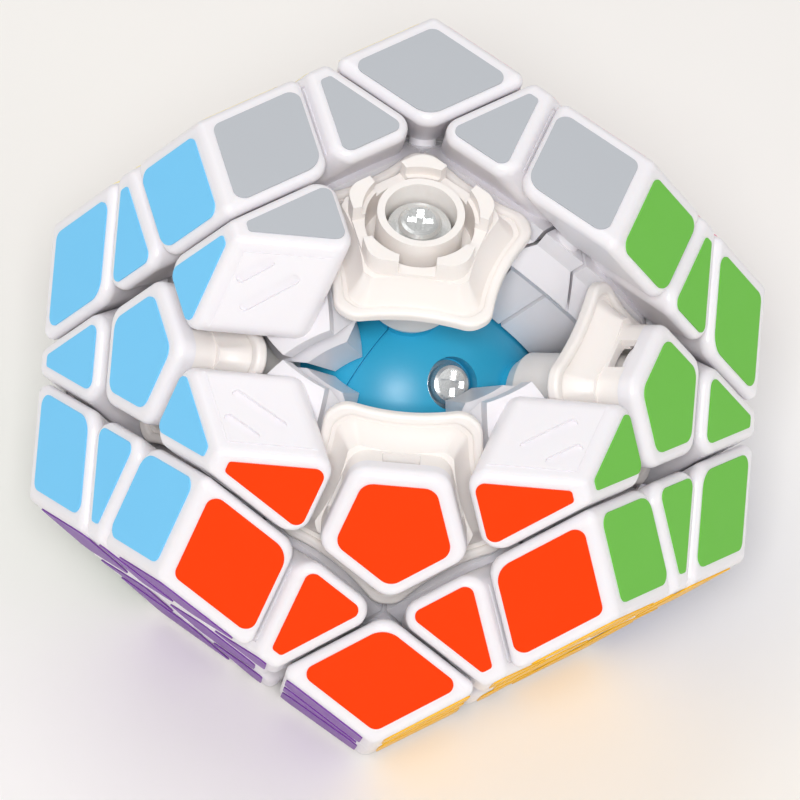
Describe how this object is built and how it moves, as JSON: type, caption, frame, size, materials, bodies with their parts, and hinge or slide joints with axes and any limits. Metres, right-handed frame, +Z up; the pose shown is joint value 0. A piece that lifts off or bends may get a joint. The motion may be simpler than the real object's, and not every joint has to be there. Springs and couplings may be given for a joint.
{
  "type": "dodecahedron twisty puzzle",
  "caption": "Twelve-sided twisty puzzle in white plastic with coloured stickers, partly taken apart to show its centre, screws and blue ball core; three layers turn.",
  "frame": {"origin": "centre of the ball core, where all twelve face axes meet", "axes": "+Z up along the axis of the open grey face, which faces up; the orange face leans towards -Y; the puzzle rests on the face opposite grey"},
  "size_m": [0.0808, 0.0848, 0.0694],
  "materials": {
    "white_plastic": "glossy white moulded plastic, outer pieces",
    "ivory_plastic": "satin warm white moulded plastic, centre bases",
    "core_blue": "satin cyan-blue moulded plastic",
    "steel": "bright plated steel screws and washers",
    "spring_steel": "plain steel wire",
    "sticker_orange": "thin smooth vinyl sticker, low sheen",
    "sticker_light_blue": "thin smooth vinyl sticker, low sheen",
    "sticker_light_green": "thin smooth vinyl sticker, low sheen",
    "sticker_grey": "thin smooth vinyl sticker, low sheen",
    "sticker_pink": "thin smooth vinyl sticker, low sheen",
    "sticker_cream": "thin smooth vinyl sticker, low sheen",
    "sticker_yellow": "thin smooth vinyl sticker, low sheen",
    "sticker_dark_blue": "thin smooth vinyl sticker, low sheen",
    "sticker_red": "thin smooth vinyl sticker, low sheen",
    "sticker_dark_green": "thin smooth vinyl sticker, low sheen",
    "sticker_purple": "thin smooth vinyl sticker, low sheen",
    "sticker_black": "thin smooth vinyl sticker, low sheen"
  },
  "bodies": {
    "core": {"centre_screws": "steel", "centre_springs": "spring_steel", "centre_washers": "steel", "core_front_half": "core_blue", "core_rear_half": "core_blue", "core_screws": "steel", "fixed_centre_bases": "ivory_plastic", "fixed_centre_caps": "white_plastic", "fixed_corners": "white_plastic", "fixed_cream_stickers": "sticker_cream", "fixed_dark_blue_stickers": "sticker_dark_blue", "fixed_dark_green_stickers": "sticker_dark_green", "fixed_edges": "white_plastic", "fixed_grey_stickers": "sticker_grey", "fixed_orange_stickers": "sticker_orange", "fixed_pink_stickers": "sticker_pink", "fixed_purple_stickers": "sticker_purple", "fixed_red_stickers": "sticker_red", "fixed_yellow_stickers": "sticker_yellow", "grey_centre_base": "ivory_plastic", "orange_centre_base": "ivory_plastic", "orange_centre_cap": "white_plastic"},
    "light_blue_layer": {"light_blue_centre_base": "ivory_plastic", "light_blue_centre_cap": "white_plastic", "light_blue_corners": "white_plastic", "light_blue_cream_stickers": "sticker_cream", "light_blue_dark_green_stickers": "sticker_dark_green", "light_blue_edges": "white_plastic", "light_blue_grey_stickers": "sticker_grey", "light_blue_light_blue_stickers": "sticker_light_blue", "light_blue_orange_stickers": "sticker_orange", "light_blue_purple_stickers": "sticker_purple"},
    "light_green_layer": {"light_green_centre_base": "ivory_plastic", "light_green_centre_cap": "white_plastic", "light_green_corners": "white_plastic", "light_green_dark_blue_stickers": "sticker_dark_blue", "light_green_edges": "white_plastic", "light_green_grey_stickers": "sticker_grey", "light_green_light_green_stickers": "sticker_light_green", "light_green_orange_stickers": "sticker_orange", "light_green_pink_stickers": "sticker_pink", "light_green_yellow_stickers": "sticker_yellow"},
    "bottom_layer": {"bottom_bottom_stickers": "sticker_black", "bottom_centre_base": "ivory_plastic", "bottom_centre_cap": "white_plastic", "bottom_corners": "white_plastic", "bottom_dark_blue_stickers": "sticker_dark_blue", "bottom_dark_green_stickers": "sticker_dark_green", "bottom_edges": "white_plastic", "bottom_purple_stickers": "sticker_purple", "bottom_red_stickers": "sticker_red", "bottom_yellow_stickers": "sticker_yellow"}
  },
  "joints": [
    {"name": "light_blue_turn", "type": "hinge", "parent": "core", "child": "light_blue_layer", "pos_m": [0, 0, 0], "axis": [-0.8507, -0.2764, 0.4472], "continuous": true},
    {"name": "light_green_turn", "type": "hinge", "parent": "core", "child": "light_green_layer", "pos_m": [0, 0, 0], "axis": [0.8507, -0.2764, 0.4472], "continuous": true},
    {"name": "bottom_turn", "type": "hinge", "parent": "core", "child": "bottom_layer", "pos_m": [0, 0, 0], "axis": [0, 0, -1], "continuous": true}
  ]
}
